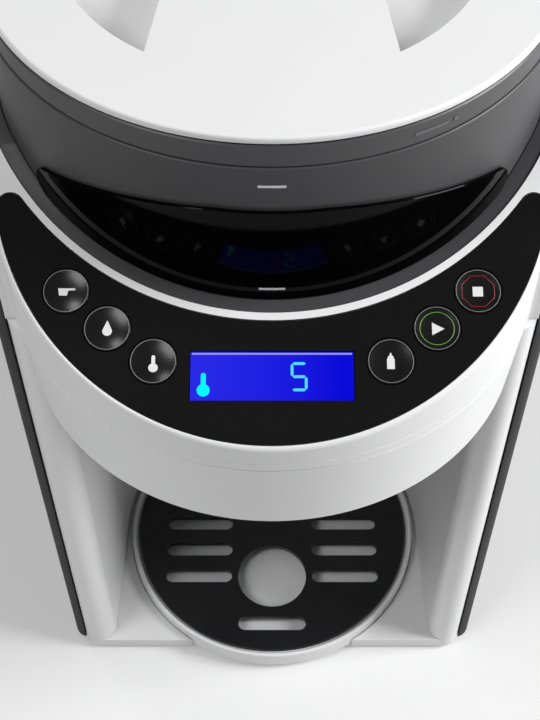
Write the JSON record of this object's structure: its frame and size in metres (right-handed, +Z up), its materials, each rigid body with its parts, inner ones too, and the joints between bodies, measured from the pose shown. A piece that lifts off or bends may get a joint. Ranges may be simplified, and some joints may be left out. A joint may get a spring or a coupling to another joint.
{
  "type": "baby formula maker",
  "caption": "Countertop powder formula maker: lidded powder container over a sloped control panel, open bottle bay with drip tray, and a rear water tank.",
  "frame": {"origin": "on the ground plane under the middle of the bounding box", "axes": "+Z up, the control panel and bottle bay face -Y, +X is to the right of someone facing them"},
  "size_m": [0.194, 0.3346, 0.372],
  "materials": {
    "white_plastic": "satin white moulded plastic",
    "dark_plastic": "satin dark grey moulded plastic",
    "black_gloss": "polished black panel",
    "black_plastic": "fine satin black",
    "smoky_plastic": "smoke-tinted clear plastic",
    "display_blue": "backlit blue display cover",
    "clear_silicone": "translucent silicone",
    "natural_plastic": "natural food-grade plastic",
    "steel": "plain steel",
    "circuit_board": "green circuit board",
    "rubber": "black rubber"
  },
  "bodies": {
    "housing": {"base_plate": "white_plastic", "bay_wall": "white_plastic", "head_skirt": "white_plastic", "top_deck": "white_plastic", "powder_chute": "white_plastic", "funnel_rail_left": "white_plastic", "funnel_rail_right": "white_plastic", "tank_port": "white_plastic", "side_panel_left": "dark_plastic", "side_panel_right": "dark_plastic", "rear_panel": "dark_plastic", "tank_base": "dark_plastic", "chassis_plate": "dark_plastic", "display_module": "dark_plastic", "control_panel": "black_gloss", "power_inlet": "black_plastic", "display_window": "display_blue", "inlet_hose": "clear_silicone", "pump_hose": "clear_silicone", "outlet_hose": "clear_silicone", "water_nozzle": "clear_silicone", "idler_pin": "steel", "gear_motor": "steel", "pump": "steel", "heater": "steel", "control_board": "circuit_board", "main_board": "circuit_board", "foot_front_left": "rubber", "foot_front_right": "rubber", "foot_rear_left": "rubber", "foot_rear_right": "rubber"},
    "container": {"powder_container": "smoky_plastic", "container_collar": "dark_plastic", "container_base": "dark_plastic", "level_window": "black_gloss"},
    "dosing_wheel": {"powder_wheel": "white_plastic", "stirrer": "white_plastic"},
    "lid_insert": {"lid_liner": "white_plastic", "lid_gasket": "clear_silicone"},
    "lid": {"powder_lid": "white_plastic"},
    "drive_gear": {"drive_gear": "natural_plastic"},
    "idler_gear": {"idler_gear": "natural_plastic"},
    "motor_pinion": {"motor_pinion": "steel"},
    "funnel": {"mixing_funnel": "natural_plastic", "funnel_cover": "white_plastic"},
    "drip_cup": {"drip_cup": "white_plastic"},
    "drip_cover": {"drip_cover": "black_plastic"},
    "tank": {"water_tank": "smoky_plastic", "tank_seal": "rubber"},
    "tank_lid": {"tank_lid": "dark_plastic"},
    "button_powder": {"button_powder": "black_gloss"},
    "button_water": {"button_water": "black_gloss"},
    "button_temperature": {"button_temperature": "black_gloss"},
    "button_volume": {"button_volume": "black_gloss"},
    "button_start": {"button_start": "black_gloss"},
    "button_stop": {"button_stop": "black_gloss"}
  },
  "joints": [
    {"name": "container_lift", "type": "slide", "parent": "housing", "child": "container", "axis": [0, 0, 1], "range_m": [0, 0.12]},
    {"name": "wheel_spin", "type": "hinge", "parent": "container", "child": "dosing_wheel", "pos_m": [0, -0.03675, 0.2856], "axis": [0, 0, 1], "continuous": true},
    {"name": "lid_lift", "type": "slide", "parent": "container", "child": "lid_insert", "axis": [0, 0, 1], "range_m": [0, 0.06]},
    {"name": "lid_twist", "type": "hinge", "parent": "lid_insert", "child": "lid", "pos_m": [0, -0.03675, 0.365], "axis": [0, 0, 1], "range_deg": [0, 30]},
    {"name": "drive_spin", "type": "hinge", "parent": "housing", "child": "drive_gear", "pos_m": [0, -0.03675, 0.2631], "axis": [0, 0, 1], "continuous": true},
    {"name": "idler_spin", "type": "hinge", "parent": "housing", "child": "idler_gear", "pos_m": [0, 0.01925, 0.2631], "axis": [0, 0, 1], "continuous": true},
    {"name": "pinion_spin", "type": "hinge", "parent": "housing", "child": "motor_pinion", "pos_m": [0, 0.06825, 0.2631], "axis": [0, 0, 1], "continuous": true},
    {"name": "press_powder", "type": "slide", "parent": "housing", "child": "button_powder", "axis": [0, 0.342, -0.9397], "range_m": [0, 0.001], "stiffness_N_per_m": 600},
    {"name": "press_water", "type": "slide", "parent": "housing", "child": "button_water", "axis": [0, 0.342, -0.9397], "range_m": [0, 0.001], "stiffness_N_per_m": 600},
    {"name": "press_temperature", "type": "slide", "parent": "housing", "child": "button_temperature", "axis": [0, 0.342, -0.9397], "range_m": [0, 0.001], "stiffness_N_per_m": 600},
    {"name": "press_volume", "type": "slide", "parent": "housing", "child": "button_volume", "axis": [0, 0.342, -0.9397], "range_m": [0, 0.001], "stiffness_N_per_m": 600},
    {"name": "press_start", "type": "slide", "parent": "housing", "child": "button_start", "axis": [0, 0.342, -0.9397], "range_m": [0, 0.001], "stiffness_N_per_m": 600},
    {"name": "press_stop", "type": "slide", "parent": "housing", "child": "button_stop", "axis": [0, 0.342, -0.9397], "range_m": [0, 0.001], "stiffness_N_per_m": 600},
    {"name": "funnel_slide", "type": "slide", "parent": "housing", "child": "funnel", "axis": [0, -1, 0], "range_m": [0, 0.1]},
    {"name": "tray_lift", "type": "slide", "parent": "housing", "child": "drip_cup", "axis": [0, 0, 1], "range_m": [0, 0.1]},
    {"name": "tray_cover_lift", "type": "slide", "parent": "drip_cup", "child": "drip_cover", "axis": [0, 0, 1], "range_m": [0, 0.03]},
    {"name": "tank_lift", "type": "slide", "parent": "housing", "child": "tank", "axis": [0, 0, 1], "range_m": [0, 0.12]},
    {"name": "tank_lid_hinge", "type": "hinge", "parent": "tank", "child": "tank_lid", "pos_m": [0, 0.11525, 0.3255], "axis": [1, 0, 0], "range_deg": [0, 95]}
  ],
  "couplings": [
    {"joint": "drive_spin", "follows": "wheel_spin", "ratio": 1},
    {"joint": "idler_spin", "follows": "wheel_spin", "ratio": -0.4359},
    {"joint": "pinion_spin", "follows": "wheel_spin", "ratio": 1.7}
  ]
}
